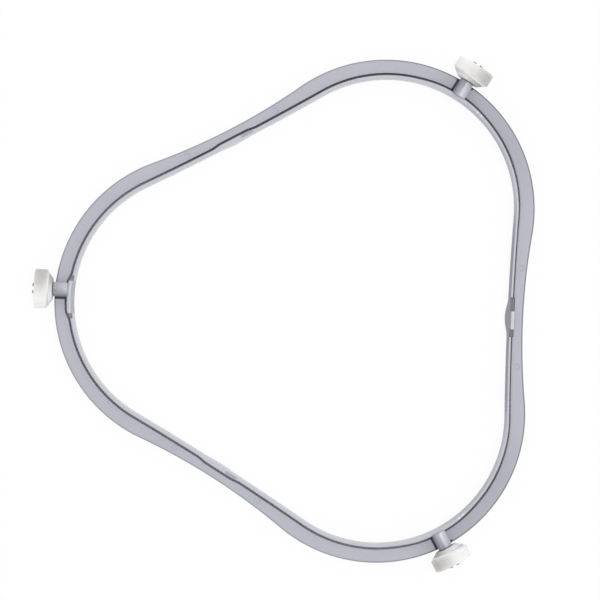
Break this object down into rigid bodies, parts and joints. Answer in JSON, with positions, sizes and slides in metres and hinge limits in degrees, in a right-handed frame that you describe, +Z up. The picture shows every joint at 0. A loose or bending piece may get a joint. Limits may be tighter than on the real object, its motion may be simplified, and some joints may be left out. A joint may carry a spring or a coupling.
{
  "type": "microwave roller ring",
  "caption": "Three-lobed plastic ring with a free-turning roller on a split snap axle at each lobe; it carries and guides a microwave oven's turntable tray.",
  "frame": {"origin": "centre of the ring on the surface that the rollers run on", "axes": "+Z up towards the tray, one lobe and its roller towards -X, the other two 60 degrees to each side of +X"},
  "size_m": [0.1914, 0.1984, 0.015],
  "materials": {
    "ring_plastic": "cool light grey moulded plastic, fine satin grain",
    "roller_plastic": "off-white hard plastic, smooth"
  },
  "bodies": {
    "ring": {"ring": "ring_plastic"},
    "roller_right_rear": {"roller_right_rear": "roller_plastic"},
    "roller_left": {"roller_left": "roller_plastic"},
    "roller_right_front": {"roller_right_front": "roller_plastic"}
  },
  "joints": [
    {"name": "roller_right_rear_turn", "type": "hinge", "parent": "ring", "child": "roller_right_rear", "pos_m": [0.05355, 0.09275, 0.0075], "axis": [0.5, 0.866, 0], "continuous": true},
    {"name": "roller_left_turn", "type": "hinge", "parent": "ring", "child": "roller_left", "pos_m": [-0.1071, 0.0027, 0.0075], "axis": [-1, 0, 0], "continuous": true},
    {"name": "roller_right_front_turn", "type": "hinge", "parent": "ring", "child": "roller_right_front", "pos_m": [0.05355, -0.09275, 0.0075], "axis": [0.5, -0.866, 0], "continuous": true}
  ]
}
